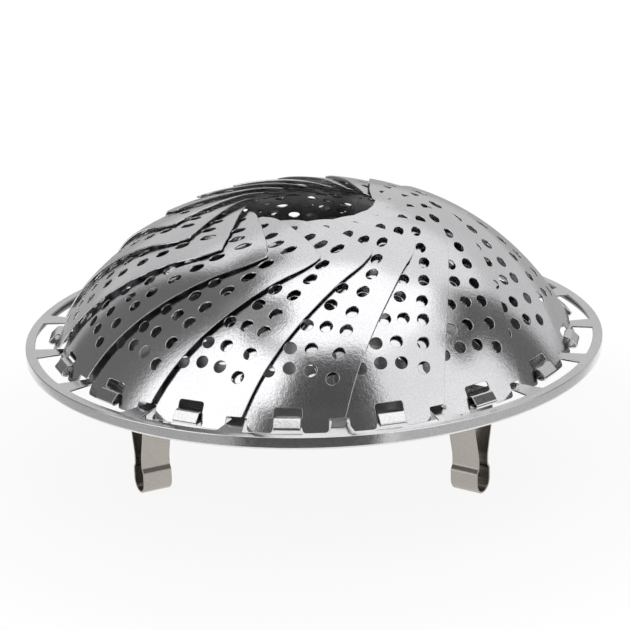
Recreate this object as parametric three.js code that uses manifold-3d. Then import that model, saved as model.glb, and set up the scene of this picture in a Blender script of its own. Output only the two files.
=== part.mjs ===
// Folding steamer basket of polished stainless sheet, shown closed to a dome.
// Seventeen lapped petals hinge on hooks bent up from a shallow pan, which stands on three
// folding strap legs. Millimetres, +Z up, origin on the table under the middle of the pan.

import * as THREE from "three";
import { mergeGeometries, mergeVertices } from "three/addons/utils/BufferGeometryUtils.js";
import Module from "manifold-3d";

const wasm = await Module();
wasm.setup();

const fullTurn = 2 * Math.PI;
const quarterTurn = Math.PI / 2;

// Whole basket
const ringRadius = 70;
const petalCount = 17;
const pitchAngle = fullTurn / petalCount;
const firstPetalAngle = THREE.MathUtils.degToRad(4.8) - pitchAngle / 2;
const standHeight = 33;
const cutOverrun = 1;
const runningGap = 0.35;
const weldDistance = 1e-4;

// Pan
const panSheet = 0.5;
const panDepth = 8;
const rimCorner = 0.6;
const lipHeight = 3;
const beadRadius = 0.8;
const beadStartAngle = THREE.MathUtils.degToRad(120);
const beadSteps = 4;
const ringSegments = 4 * petalCount;
const floorLap = 0.4;

// From the ring inward: rim, windows with spokes between them, ledge, sloping side, flat floor
const rimWidth = 2.3;
const windowDepth = 8.4;
const spokeHalfWidth = 1.67;
const windowCorner = 1;
const windowArcSteps = 4;
const ledgeWidth = 2.3;
const sideRun = 8;
const windowOuterRadius = ringRadius - rimWidth;
const windowInnerRadius = windowOuterRadius - windowDepth;
const spokeSpread = Math.tan(pitchAngle / 2);
const windowHalfWidth = (windowInnerRadius + windowCorner) * spokeSpread - spokeHalfWidth;
const shoulderRadius = windowInnerRadius - ledgeWidth;
const floorRadius = shoulderRadius - sideRun;

// Floor perforation
const drainRadius = 1.5;
const drainRings = 3;
const drainsInFirstRing = 6;
const centreHoleRadius = 4;
const centreHoleSides = 12;

// Petal hinges
const hingeSetback = 2.7;
const hingeRadius = windowInnerRadius + hingeSetback;
const hingeRise = 0.1;
const hookSheet = 0.4;
const hookHalfWidth = 2.9;
const hookSideGap = 0.25;
const hookInnerRadius = 1.3;
const hookEndAngle = THREE.MathUtils.degToRad(132);
const hookRootLap = 0.6;
const hookArcSteps = 6;

// Petals
const petalSheet = 0.4;
const petalLength = 58;
const openingRadius = 16.4;
const domeRise = 30.1;
const bendSagitta = 6.9;
const lapGap = 0.75;
const lapStep = petalSheet + lapGap;
const settleAngle = THREE.MathUtils.degToRad(18);
const settleDrop = 1.2;
const earSideGap = 0.4;
const earHalfWidth = windowHalfWidth - earSideGap;
const earLength = 2.3;
const lapFootOverhang = 3.5;
const tuckedFootOverhang = 0.6;
const earCorner = 0.8;
const stripHalfHeight = 0.8;
const slotHeight = 2.6;
const slotHalfWidth = hookHalfWidth + hookSideGap;
const slotTop = stripHalfHeight + slotHeight;
const holeRadius = 1.45;
const holeSides = 6;

// Petal outline: how far up the petal, and how far out on each side, as shares of its length
const lapEdgeShares = [[0.162, 0.26], [0.305, 0.31], [0.467, 0.38], [0.59, 0.447]];
const tuckedEdgeShares = [[0.09, 0.175], [0.2, 0.25], [0.5, 0.28], [0.66, 0.27]];
const tuckedCornerShare = [0.79, 0.26];
const shoulderShares = [[0.657, 0.492], [0.697, 0.505], [0.738, 0.462]];
const shoulderPeakShare = shoulderShares[1];
const topEdgeShares = [[0.985, 0.06], [0.926, 0.185], [0.834, 0.336]];

// Rows of cells above the slot, as shares of the way from the slot to the petal's upper end
const rowClimbShares = [0, 0.061, 0.131, 0.26, 0.389, 0.517, 0.646, 0.775, 1];
const rowCount = rowClimbShares.length - 1;
const columnCount = 5;
const firstHoleRow = 2;

// Legs
const legCount = 3;
const firstLegAngle = THREE.MathUtils.degToRad(55.8);
const strapWidth = 7.2;
const strapSheet = 0.5;
const legPivotDepth = 4.2;
const legTopHalfGap = 4.4;
const neckHalfGap = 2.1;
const neckRise = 7.8;
const neckPullShare = 0.25;
const neckSteps = 3;
const bulbRadius = 2.95;
const shoulderSteps = 4;
const bulbSteps = 7;
const strapTopRise = 1.1;
const tipHalfWidth = 1.1;
const tipReach = 1.5;
const tipLength = tipReach + strapSheet / 2;

// Heights above the table
const ringHeight = standHeight;
const floorTop = ringHeight - panDepth;
const floorUnder = floorTop - panSheet;
const pivotHeight = floorUnder - legPivotDepth;

// Lugs bent down from the floor to carry the legs; each leaves a window in the floor outside it
const lugSheet = panSheet;
const lugHalfWidth = 3;
const lugOverhang = 1.9;
const lugHoleSides = 10;
const lugHoleInside = Math.hypot(tipHalfWidth, strapSheet / 2) + runningGap;
const lugHoleRadius = lugHoleInside / Math.cos(Math.PI / lugHoleSides);
const lugInnerFace = legTopHalfGap + strapSheet / 2 + runningGap;
const lugOuterFace = lugInnerFace + lugSheet;
const lugWindowEnd = lugOuterFace + floorTop - pivotHeight + lugOverhang;

// The legs stand as far out as their lugs' windows leave a margin to the floor's edge
const lugWindowMargin = 0.47;
const legRadius = Math.sqrt((floorRadius - lugWindowMargin) ** 2 - lugWindowEnd ** 2) - lugHalfWidth;

// The drain rings spread evenly from the centre hole to a margin inside the lugs
const drainMargin = 8;
const drainPitch = (legRadius - lugHalfWidth - drainMargin) / drainRings;

function stainless(color, roughness) {
  return new THREE.MeshStandardMaterial({ color, roughness, metalness: 1 });
}

function bareGeometry(geometry) {
  const bare = geometry.index ? geometry.clone() : geometry;
  bare.deleteAttribute("normal");
  bare.deleteAttribute("uv");
  return mergeVertices(bare, weldDistance);
}

function solidFrom(geometry) {
  const bare = bareGeometry(geometry);
  return new wasm.Manifold(new wasm.Mesh({
    numProp: 3,
    vertProperties: new Float32Array(bare.attributes.position.array),
    triVerts: new Uint32Array(bare.index.array),
  }));
}

function geometryFrom(solid) {
  const mesh = solid.getMesh();
  const geometry = new THREE.BufferGeometry();
  geometry.setAttribute("position", new THREE.BufferAttribute(mesh.vertProperties, 3));
  geometry.setIndex(new THREE.BufferAttribute(mesh.triVerts, 1));
  geometry.computeVertexNormals();
  return geometry;
}

function namedMesh(name, geometry, material) {
  const mesh = new THREE.Mesh(geometry, material);
  mesh.name = name;
  return mesh;
}

// Turns a geometry about the basket's axis; angle zero faces -Y and grows towards +X.
function turnedAbout(geometry, angle) {
  return geometry.clone().rotateZ(angle);
}

// A prism of an outline in the radius and height plane, as wide as asked along the ring.
function radialPrism(shape, width) {
  const prism = new THREE.ExtrudeGeometry(shape, { depth: width, bevelEnabled: false });
  prism.translate(0, 0, -width / 2);
  prism.rotateX(quarterTurn);
  prism.rotateZ(-quarterTurn);
  return prism;
}

function uprightPrism(shape, bottom, top) {
  const prism = new THREE.ExtrudeGeometry(shape, { depth: top - bottom, bevelEnabled: false });
  prism.translate(0, 0, bottom);
  return prism;
}

// Points along an arc, both ends included.
function arcPoints(centre, radius, startAngle, endAngle, steps) {
  return Array.from({ length: steps + 1 }, (unused, index) => {
    const angle = THREE.MathUtils.lerp(startAngle, endAngle, index / steps);
    return new THREE.Vector2(centre.x + radius * Math.cos(angle), centre.y + radius * Math.sin(angle));
  });
}

// Pan

function panProfile() {
  const beadCentre = new THREE.Vector2(ringRadius - beadRadius, ringHeight - lipHeight + beadRadius);
  const points = [
    new THREE.Vector2(floorRadius - floorLap, floorUnder),
    new THREE.Vector2(floorRadius + panSheet / 2, floorUnder),
    new THREE.Vector2(shoulderRadius + panSheet / 2, ringHeight - panSheet),
    new THREE.Vector2(beadCentre.x - panSheet / 2, ringHeight - panSheet),
  ];
  points.push(...arcPoints(beadCentre, beadRadius, beadStartAngle, fullTurn, beadSteps));
  points.push(
    new THREE.Vector2(ringRadius, ringHeight - rimCorner),
    new THREE.Vector2(ringRadius - rimCorner, ringHeight),
    new THREE.Vector2(shoulderRadius, ringHeight),
    new THREE.Vector2(floorRadius, floorTop),
    new THREE.Vector2(floorRadius - floorLap, floorTop),
  );
  points.push(points[0].clone());
  return points;
}

function polygonPath(centre, radius, sides) {
  return new THREE.Path().setFromPoints(arcPoints(centre, radius, 0, fullTurn, sides).slice(1));
}

function drainPaths() {
  const middle = new THREE.Vector2();
  const paths = [polygonPath(middle, centreHoleRadius, centreHoleSides)];
  for (let ring = 1; ring <= drainRings; ring += 1) {
    const count = drainsInFirstRing * ring;
    for (let index = 0; index < count; index += 1) {
      const centre = new THREE.Vector2(0, -ring * drainPitch);
      centre.rotateAround(middle, index * fullTurn / count);
      paths.push(polygonPath(centre, drainRadius, holeSides));
    }
  }
  return paths;
}

function floorGeometry() {
  const edge = arcPoints(new THREE.Vector2(), floorRadius, 0, fullTurn, ringSegments);
  const shape = new THREE.Shape(edge.slice(1));
  shape.holes.push(...drainPaths(), ...legAngles().flatMap(lugWindowPaths));
  return uprightPrism(shape, floorUnder, floorTop);
}

function windowShape() {
  const cornerAngle = Math.asin(windowHalfWidth / windowOuterRadius);
  const startAngle = -quarterTurn - cornerAngle;
  const endAngle = -quarterTurn + cornerAngle;
  return new THREE.Shape([
    new THREE.Vector2(-windowHalfWidth + windowCorner, -windowInnerRadius),
    new THREE.Vector2(-windowHalfWidth, -windowInnerRadius - windowCorner),
    ...arcPoints(new THREE.Vector2(), windowOuterRadius, startAngle, endAngle, windowArcSteps),
    new THREE.Vector2(windowHalfWidth, -windowInnerRadius - windowCorner),
    new THREE.Vector2(windowHalfWidth - windowCorner, -windowInnerRadius),
  ]);
}

// The hook leaves the pan at the window's inner edge, passes under the petal's foot strip,
// and curls up outside it and back in through the petal's slot.
function hookShape() {
  const outerRadius = hookInnerRadius + hookSheet;
  const root = new THREE.Vector2(windowInnerRadius - hookRootLap, ringHeight - panSheet);
  const centre = new THREE.Vector2(hingeRadius, ringHeight + hingeRise);
  const towardCentre = centre.clone().sub(root);
  const tangentAngle = towardCentre.angle() - Math.asin(outerRadius / towardCentre.length());
  const startAngle = tangentAngle - quarterTurn;
  return new THREE.Shape([
    root,
    ...arcPoints(centre, outerRadius, startAngle, hookEndAngle, hookArcSteps),
    ...arcPoints(centre, hookInnerRadius, hookEndAngle, startAngle, hookArcSteps),
    new THREE.Vector2(windowInnerRadius, ringHeight),
    new THREE.Vector2(root.x, ringHeight),
  ]);
}

function lugShape() {
  const top = floorTop - panSheet / 2;
  const bottom = pivotHeight - lugOverhang;
  const chamfer = lugOverhang / 2;
  const shape = new THREE.Shape([
    new THREE.Vector2(legRadius - lugHalfWidth, top),
    new THREE.Vector2(legRadius - lugHalfWidth, bottom + chamfer),
    new THREE.Vector2(legRadius - lugHalfWidth + chamfer, bottom),
    new THREE.Vector2(legRadius + lugHalfWidth - chamfer, bottom),
    new THREE.Vector2(legRadius + lugHalfWidth, bottom + chamfer),
    new THREE.Vector2(legRadius + lugHalfWidth, top),
  ]);
  shape.holes.push(polygonPath(new THREE.Vector2(legRadius, pivotHeight), lugHoleRadius, lugHoleSides));
  return shape;
}

function lugSolids(legAngle) {
  return [-1, 1].map((side) => {
    const lug = radialPrism(lugShape(), lugSheet);
    lug.translate(side * (lugInnerFace + lugSheet / 2), 0, 0);
    return solidFrom(turnedAbout(lug, legAngle));
  });
}

function lugWindowPaths(legAngle) {
  const inner = -legRadius + lugHalfWidth;
  const outer = -legRadius - lugHalfWidth;
  return [-1, 1].map((side) => {
    const points = [
      new THREE.Vector2(side * lugOuterFace, outer),
      new THREE.Vector2(side * lugWindowEnd, outer),
      new THREE.Vector2(side * lugWindowEnd, inner),
      new THREE.Vector2(side * lugOuterFace, inner),
    ];
    for (const point of points) point.rotateAround(new THREE.Vector2(), legAngle);
    return new THREE.Path().setFromPoints(points);
  });
}

function legAngles() {
  return Array.from({ length: legCount }, (unused, index) => firstLegAngle + index * fullTurn / legCount);
}

function petalAngles() {
  return Array.from({ length: petalCount }, (unused, index) => firstPetalAngle + index * pitchAngle);
}

function panGeometry() {
  const profile = panProfile();
  const lathe = new THREE.LatheGeometry(profile, ringSegments);
  lathe.rotateX(quarterTurn);
  let pan = solidFrom(lathe);
  const window = uprightPrism(windowShape(), ringHeight - panSheet - cutOverrun, ringHeight + cutOverrun);
  const hook = radialPrism(hookShape(), 2 * hookHalfWidth);
  const cuts = [];
  const additions = [solidFrom(floorGeometry())];
  for (const angle of petalAngles()) {
    cuts.push(solidFrom(turnedAbout(window, angle)));
    additions.push(solidFrom(turnedAbout(hook, angle)));
  }
  for (const angle of legAngles()) {
    additions.push(...lugSolids(angle));
  }
  for (const cut of cuts) pan = pan.subtract(cut);
  for (const addition of additions) pan = pan.add(addition);
  return geometryFrom(pan);
}

// Petals

// The petal is bent to one arc from its hinge up to the opening.
function petalBend() {
  const foot = new THREE.Vector2(hingeRadius, hingeRise);
  const tip = new THREE.Vector2(openingRadius, domeRise);
  const chord = tip.clone().sub(foot);
  const halfAngle = 2 * Math.atan(2 * bendSagitta / chord.length());
  const radius = chord.length() / (2 * Math.sin(halfAngle));
  const outward = new THREE.Vector2(chord.y, -chord.x).normalize();
  const centre = foot.clone().add(tip).multiplyScalar(0.5);
  centre.addScaledVector(outward, -radius * Math.cos(halfAngle));
  const startAngle = Math.atan2(foot.y - centre.y, foot.x - centre.x);
  return { centre, radius, startAngle };
}

const bend = petalBend();

function bendRadiusAt(rise) {
  return bend.centre.x + bend.radius * Math.cos(bend.startAngle + rise / bend.radius);
}

// Each petal climbs steadily along the ring, so that it lies one lap step above the next one.
// Past the settle angle it bends down towards the petals under it.
function lapLift(angle) {
  const settle = Math.max(0, angle - settleAngle);
  return lapStep * angle / pitchAngle - settleDrop * settle * settle;
}

// Places a point of the flat petal: across along the ring, rise up the petal, height off the sheet.
// The result is in the hinge's own frame: x along the hinge, -y outward, z up.
function placeOnPetal(across, rise, height) {
  const angle = across / bendRadiusAt(rise);
  const bendAngle = bend.startAngle + rise / bend.radius;
  const reach = bend.radius + lapLift(angle) + height;
  const radius = bend.centre.x + reach * Math.cos(bendAngle);
  const z = bend.centre.y + reach * Math.sin(bendAngle);
  return new THREE.Vector3(
    radius * Math.sin(angle),
    hingeRadius - radius * Math.cos(angle),
    z - hingeRise,
  );
}

function sharePoints(shares, side) {
  return shares.map(([rise, across]) => new THREE.Vector2(side * across * petalLength, rise * petalLength));
}

const lapFoot = new THREE.Vector2(earHalfWidth + lapFootOverhang, stripHalfHeight);
const tuckedFoot = new THREE.Vector2(-earHalfWidth - tuckedFootOverhang, stripHalfHeight);

// How far out an edge lies at a given rise, by straight runs between its points.
function edgeAcross(points, rise) {
  const next = points.findIndex((point) => point.y >= rise);
  if (next === 0) return points[0].x;
  if (next < 0) return points[points.length - 1].x;
  const below = points[next - 1];
  const above = points[next];
  return THREE.MathUtils.mapLinear(rise, below.y, above.y, below.x, above.x);
}

// The petal's upper end runs from the tucked corner over the tip and down to the shoulder.
function topEdgePoints() {
  const [tuckedCorner] = sharePoints([tuckedCornerShare], -1);
  const tip = new THREE.Vector2(0, petalLength);
  const slope = sharePoints(topEdgeShares, 1);
  const [shoulder] = sharePoints([shoulderPeakShare], 1);
  return [tuckedCorner, tip, ...slope, shoulder];
}

function topEdgeAt(share) {
  const points = topEdgePoints();
  const curve = new THREE.CurvePath();
  for (let index = 1; index < points.length; index += 1) {
    curve.add(new THREE.LineCurve(points[index - 1], points[index]));
  }
  return curve.getPointAt(share);
}

// Corner of the grid of cells above the slot: column and row count from the tucked foot corner.
// The bow of the upper end dies away towards the slot.
function gridPoint(column, row) {
  const climb = rowClimbShares[row];
  const columnShare = column / columnCount;
  const tuckedTop = topEdgeAt(0);
  const lapTop = topEdgeAt(1);
  const tuckedRise = THREE.MathUtils.lerp(slotTop, tuckedTop.y, climb);
  const lapRise = THREE.MathUtils.lerp(slotTop, lapTop.y, climb);
  const tuckedEdge = [tuckedFoot, ...sharePoints(tuckedEdgeShares, -1), tuckedTop];
  const lapEdge = [lapFoot, ...sharePoints(lapEdgeShares, 1), lapTop];
  const tucked = new THREE.Vector2(edgeAcross(tuckedEdge, tuckedRise), tuckedRise);
  const lap = new THREE.Vector2(edgeAcross(lapEdge, lapRise), lapRise);
  const bow = topEdgeAt(columnShare).sub(tuckedTop.lerp(lapTop, columnShare));
  return tucked.lerp(lap, columnShare).add(new THREE.Vector2(bow.x * climb * climb, bow.y * climb));
}

function cellShape(corners, holeCentre) {
  const shape = new THREE.Shape(corners);
  if (holeCentre) shape.holes.push(polygonPath(holeCentre, holeRadius, holeSides));
  return shape;
}

function bladeCells() {
  const cells = [];
  for (let row = 0; row < rowCount; row += 1) {
    for (let column = 0; column < columnCount; column += 1) {
      const corners = [
        gridPoint(column, row),
        gridPoint(column + 1, row),
        gridPoint(column + 1, row + 1),
        gridPoint(column, row + 1),
      ];
      const centre = new THREE.Vector2();
      for (const corner of corners) centre.addScaledVector(corner, 1 / corners.length);
      if (row === rowCount - 1 && column === columnCount - 1) {
        corners.splice(2, 1, ...sharePoints(shoulderShares, 1));
      }
      cells.push(cellShape(corners, row >= firstHoleRow ? centre : null));
    }
  }
  return cells;
}

// The foot below the grid: side plates beside the slot, the strip under it, and two ears.
function footCells() {
  const grid = Array.from({ length: columnCount + 1 }, (unused, column) => gridPoint(column, 0));
  const point = (x, y) => new THREE.Vector2(x, y);
  const low = -stripHalfHeight;
  const high = stripHalfHeight;
  const earTop = [point(-earHalfWidth, high), point(-slotHalfWidth, high)];
  const cells = [
    [tuckedFoot, ...earTop, point(-slotHalfWidth, slotTop), grid[1], grid[0]],
    [point(slotHalfWidth, high), point(earHalfWidth, high), lapFoot, grid[columnCount],
      grid[columnCount - 1], point(slotHalfWidth, slotTop)],
    [point(-slotHalfWidth, low), point(slotHalfWidth, low), point(slotHalfWidth, high),
      point(-slotHalfWidth, high)],
  ];
  for (const side of [-1, 1]) {
    const ear = [
      point(side * slotHalfWidth, high),
      point(side * slotHalfWidth, low),
      point(side * (slotHalfWidth + earCorner), -earLength),
      point(side * (earHalfWidth - earCorner), -earLength),
      point(side * earHalfWidth, earCorner - earLength),
      point(side * earHalfWidth, high),
    ];
    cells.push(side > 0 ? ear : ear.reverse());
  }
  return cells.map((corners) => cellShape(corners, null));
}

// Gives a flat net of triangles its thickness, with a wall along every free edge.
function thickened(flat) {
  const position = flat.attributes.position;
  const count = position.count;
  const vertices = [];
  for (const height of [petalSheet / 2, -petalSheet / 2]) {
    for (let index = 0; index < count; index += 1) {
      const placed = placeOnPetal(position.getX(index), position.getY(index), height);
      vertices.push(placed.x, placed.y, placed.z);
    }
  }
  const faces = [];
  const edges = new Map();
  const flatIndex = flat.index.array;
  for (let start = 0; start < flatIndex.length; start += 3) {
    const corners = [flatIndex[start], flatIndex[start + 1], flatIndex[start + 2]];
    faces.push(...corners);
    faces.push(corners[2] + count, corners[1] + count, corners[0] + count);
    corners.forEach((from, index) => {
      const to = corners[(index + 1) % 3];
      edges.set(`${from},${to}`, [from, to]);
    });
  }
  for (const [from, to] of edges.values()) {
    if (edges.has(`${to},${from}`)) continue;
    faces.push(from, from + count, to + count);
    faces.push(from, to + count, to);
  }
  const solid = new THREE.BufferGeometry();
  solid.setAttribute("position", new THREE.Float32BufferAttribute(vertices, 3));
  solid.setIndex(faces);
  return solid;
}

function petalGeometry() {
  const shapes = [...bladeCells(), ...footCells()];
  const cells = shapes.map((shape) => bareGeometry(new THREE.ShapeGeometry(shape)));
  const flat = mergeVertices(mergeGeometries(cells), weldDistance);
  const petal = thickened(flat);
  petal.computeVertexNormals();
  return petal;
}

function petalGroup(geometry, index, angle) {
  const group = new THREE.Group();
  group.rotation.z = angle;
  const number = String(index + 1).padStart(2, "0");
  const petal = namedMesh(`petal_${number}`, geometry, stainless(0xc9cacc, 0.16));
  petal.position.set(0, -hingeRadius, ringHeight + hingeRise);
  group.add(petal);
  return group;
}

// Legs

// Middle line of the strap from one tip, down round the bulb and up to the other tip, in the
// plane along the ring; heights are measured from the pivot. The strap is straight where the
// tips leave it, and the bulb has a flat at its lowest point, on which the leg stands.
function strapLine() {
  const flatShare = Math.cos(Math.PI / (2 * bulbSteps));
  const bulbCentre = new THREE.Vector2(0, (bulbRadius + strapSheet / 2) * flatShare - pivotHeight);
  const end = new THREE.Vector2(legTopHalfGap, strapTopRise);
  const top = new THREE.Vector2(legTopHalfGap, -strapTopRise);
  const neck = new THREE.Vector2(neckHalfGap, neckRise - pivotHeight);
  const bulbStart = new THREE.Vector2(bulbRadius, bulbCentre.y);
  const neckPull = new THREE.Vector2(neckHalfGap, THREE.MathUtils.lerp(neck.y, top.y, neckPullShare));
  const neckDrop = new THREE.Vector2(neckHalfGap, neck.y - bulbRadius / 2);
  const bulbPull = new THREE.Vector2(bulbRadius, bulbCentre.y + bulbRadius / 2);
  const upper = new THREE.QuadraticBezierCurve(top, neckPull, neck).getPoints(neckSteps);
  const shoulder = new THREE.CubicBezierCurve(neck, neckDrop, bulbPull, bulbStart).getPoints(shoulderSteps);
  const bulb = arcPoints(bulbCentre, bulbRadius, 0, -Math.PI, bulbSteps);
  const side = [end, ...upper, ...shoulder.slice(1)];
  const mirrored = side.map((point) => new THREE.Vector2(-point.x, point.y)).reverse();
  return [...side, ...bulb.slice(1, -1), ...mirrored];
}

function stripShape(line, thickness) {
  const near = [];
  const far = [];
  line.forEach((point, index) => {
    const before = line[Math.max(0, index - 1)];
    const after = line[Math.min(line.length - 1, index + 1)];
    const along = after.clone().sub(before).normalize();
    const across = new THREE.Vector2(-along.y, along.x).multiplyScalar(thickness / 2);
    near.push(point.clone().add(across));
    far.push(point.clone().sub(across));
  });
  return new THREE.Shape([...near, ...far.reverse()]);
}

function legGeometry() {
  const strap = new THREE.ExtrudeGeometry(stripShape(strapLine(), strapSheet), {
    depth: strapWidth,
    bevelEnabled: false,
  });
  strap.translate(0, 0, -strapWidth / 2);
  strap.rotateX(quarterTurn);
  let leg = solidFrom(strap);
  for (const side of [-1, 1]) {
    const tip = new THREE.BoxGeometry(tipLength, 2 * tipHalfWidth, strapSheet);
    tip.translate(side * (legTopHalfGap + tipLength / 2), 0, 0);
    leg = leg.add(solidFrom(tip));
  }
  return geometryFrom(leg);
}

function legGroup(geometry, index, angle) {
  const group = new THREE.Group();
  group.rotation.z = angle;
  const leg = namedMesh(`leg_${index + 1}`, geometry, stainless(0x97918c, 0.28));
  leg.position.set(0, -legRadius, pivotHeight);
  group.add(leg);
  return group;
}

const basket = new THREE.Group();
basket.add(namedMesh("pan", panGeometry(), stainless(0xc4c5c7, 0.2)));
const petal = petalGeometry();
petalAngles().forEach((angle, index) => basket.add(petalGroup(petal, index, angle)));
const leg = legGeometry();
legAngles().forEach((angle, index) => basket.add(legGroup(leg, index, angle)));

export default basket;
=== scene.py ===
import math

import bmesh
import bpy
import numpy as np
from bpy.props import FloatProperty, FloatVectorProperty, IntProperty, PointerProperty
from mathutils import Matrix, Vector


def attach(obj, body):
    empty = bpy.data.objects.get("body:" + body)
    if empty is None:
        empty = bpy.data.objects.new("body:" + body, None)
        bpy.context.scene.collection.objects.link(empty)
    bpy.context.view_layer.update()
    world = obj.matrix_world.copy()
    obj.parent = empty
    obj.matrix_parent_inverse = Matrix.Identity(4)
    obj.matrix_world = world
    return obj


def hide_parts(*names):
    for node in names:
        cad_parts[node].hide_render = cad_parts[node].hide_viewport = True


bl_info = {
    "name": "Folding steamer basket",
    "version": (1, 0, 0),
    "blender": (4, 5, 0),
    "location": "View3D > Sidebar > Basket",
    "description": "Models a folding steamer basket of polished sheet round its solid parts",
    "category": "Object",
}

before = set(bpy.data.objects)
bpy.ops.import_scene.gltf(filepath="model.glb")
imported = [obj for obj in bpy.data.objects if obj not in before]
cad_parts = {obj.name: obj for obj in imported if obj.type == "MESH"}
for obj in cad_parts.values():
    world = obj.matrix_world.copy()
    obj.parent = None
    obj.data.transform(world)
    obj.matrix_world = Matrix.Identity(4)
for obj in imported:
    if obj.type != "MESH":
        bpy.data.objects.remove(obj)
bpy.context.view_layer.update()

MM = 0.001
MICRON = 1e-6
FULL_TURN = 2 * math.pi
QUARTER_TURN = math.pi / 2

# Sheets are cut flat, and then bent. Cuts across them keep each bend smooth.
RING_STEPS = 204
BEND_STEP = math.radians(12)
PETAL_CUT_PITCH = 2.4 * MM
HOLE_STEPS = 18
MERGE_DISTANCE = 1 * MICRON
SEAM_MERGE_DISTANCE = 5 * MICRON
TANGENT_STEP = 10 * MICRON

# A flat sheet's face is a wall or a flat by how far its normal leans up or down.
MOST_WALL_LEAN = 0.01
LEAST_FLAT_LEAN = 0.99
LEAST_NORMAL_SUM = 0.1

# The gap between the first two petals stands at this angle from the front.
PETAL_COUNT = 17
FIRST_GAP_ANGLE = math.radians(4.8)

# Petal outline: how far out and how far up the petal, as shares of its length
LAP_EDGE_SHARES = [(0.255, 0.162), (0.303, 0.305), (0.373, 0.467), (0.44, 0.59)]
SHOULDER_SHARES = [(0.492, 0.657), (0.505, 0.697), (0.462, 0.738)]
TOP_EDGE_SHARES = [(0.336, 0.836), (0.185, 0.936), (0.06, 1), (0, 1.01)]
TUCKED_EDGE_SHARES = [(-0.26, 0.79), (-0.27, 0.66), (-0.28, 0.5), (-0.25, 0.2), (-0.175, 0.09)]

# Rows of holes up the petal, as shares of its length: how far up the row's middle is, how fast the
# row drops to its sides, and how far out its holes are on each side
HOLE_ROW_SHARES = [
    (0.2138, 1.74, (0, 0.081, 0.1655)),
    (0.2966, 0.986, (0, 0.081, 0.1862)),
    (0.3966, 0.9106, (0.0586, 0.1328, 0.2103)),
    (0.5069, 1.3862, (0, 0.0759, 0.1448, 0.2293)),
    (0.5793, 0.8294, (0.0379, 0.1086, 0.1828, 0.2672)),
    (0.6707, 0.8236, (0.0483, 0.131, 0.2138, 0.3)),
    (0.7517, 0.8236, (0, 0.0759, 0.1552, 0.2345, 0.3172)),
    (0.8483, 0.8236, (0, 0.0862, 0.2586, 0.3414)),
    (0.8793, 0.8236, (0.1862,)),
    (0.9293, 0.8236, (0, 0.0828)),
]
HOLE_EDGE_MARGIN = 2.4 * MM


def size(name, description, default):
    """A length that a user can change."""
    return FloatProperty(name=name, description=description, default=default, unit="LENGTH")


def finish_colour(name, description, default):
    """A colour that a user can change."""
    return FloatVectorProperty(name=name, description=description, default=default, subtype="COLOR")


class BasketPan(bpy.types.PropertyGroup):
    ring_radius: size("Ring radius", "Outside of the pan's lip", default=70 * MM)
    stand_height: size("Stand height", "Table to the top of the ring", default=33 * MM)
    depth: size("Depth", "Top of the ring down to the floor", default=8 * MM)
    sheet: size("Sheet", "Thickness of the pan", default=0.5 * MM)
    rim_width: size("Rim width", "Flat ring outside the windows", default=2.3 * MM)
    window_depth: size("Window depth", "Windows, across the ring", default=8.4 * MM)
    spoke_half_width: size("Half spoke", "Half the narrow end of a spoke", default=1.67 * MM)
    ledge_width: size("Ledge width", "Flat ring inside the windows", default=2.3 * MM)
    side_run: size("Side run", "Sloping side, measured inward", default=8 * MM)
    lip_height: size("Lip height", "Turned-down lip", default=3 * MM)
    bead_radius: size("Bead radius", "Roll at the lip's lower edge", default=0.6 * MM)
    drain_radius: size("Drain radius", "Small holes in the floor", default=1.5 * MM)
    centre_hole_radius: size("Centre hole", "Hole in the middle of the floor", default=4 * MM)


class BasketPetals(bpy.types.PropertyGroup):
    count: IntProperty(name="Petals", description="How many petals there are", default=PETAL_COUNT)
    first_angle: FloatProperty(
        name="First petal", description="Where the first petal stands, from the front",
        default=FIRST_GAP_ANGLE - math.pi / PETAL_COUNT, subtype="ANGLE")
    length: size("Length", "Hinge to tip, along the sheet", default=58 * MM)
    sheet: size("Sheet", "Thickness of a petal", default=0.4 * MM)
    opening_radius: size("Opening", "Axis to a closed petal's tip", default=16.4 * MM)
    dome_rise: size("Dome rise", "Ring to a closed petal's tip", default=30.8 * MM)
    bend: size("Bend", "How far a petal bows from straight", default=6.9 * MM)
    lap_step: size("Lap step", "Climb from one petal to the next", default=1.25 * MM)
    hole_radius: size("Hole radius", "Round holes of the petals", default=1.45 * MM)


class BasketLegs(bpy.types.PropertyGroup):
    count: IntProperty(name="Legs", description="How many legs there are", default=3)
    first_angle: FloatProperty(
        name="First leg", description="Where the first leg stands, from the front",
        default=math.radians(55.8), subtype="ANGLE")
    strap_width: size("Strap width", "Width of the strap", default=7.2 * MM)
    strap_sheet: size("Strap sheet", "Thickness of the strap", default=0.5 * MM)
    pivot_drop: size("Pivot drop", "Pan's underside down to a pivot", default=4.2 * MM)
    neck_half_gap: size("Half neck", "Half the gap at the narrow neck", default=2.1 * MM)
    bulb_radius: size("Bulb radius", "Round foot, inside the strap", default=2.95 * MM)


class BasketFinish(bpy.types.PropertyGroup):
    petal_colour: finish_colour("Petal steel", "Polished petals", default=(0.79, 0.788, 0.805))
    pan_colour: finish_colour("Pan steel", "Pressed pan and hooks", default=(0.76, 0.755, 0.76))
    leg_colour: finish_colour("Leg steel", "Duller strap legs", default=(0.42, 0.39, 0.36))
    floor_colour: finish_colour("Floor", "Plain pale floor", default=(0.95, 0.95, 0.95))


def link(name, data):
    piece = bpy.data.objects.new(name, data)
    bpy.context.scene.collection.objects.link(piece)
    return piece


def select_only(*pieces):
    bpy.ops.object.select_all(action="DESELECT")
    for piece in pieces:
        piece.select_set(True)
    bpy.context.view_layer.objects.active = pieces[0]


def merge_close(piece, distance=MERGE_DISTANCE):
    select_only(piece)
    bpy.ops.object.mode_set(mode="EDIT")
    bpy.ops.mesh.select_all(action="SELECT")
    bpy.ops.mesh.remove_doubles(threshold=distance)
    bpy.ops.object.mode_set(mode="OBJECT")


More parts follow.
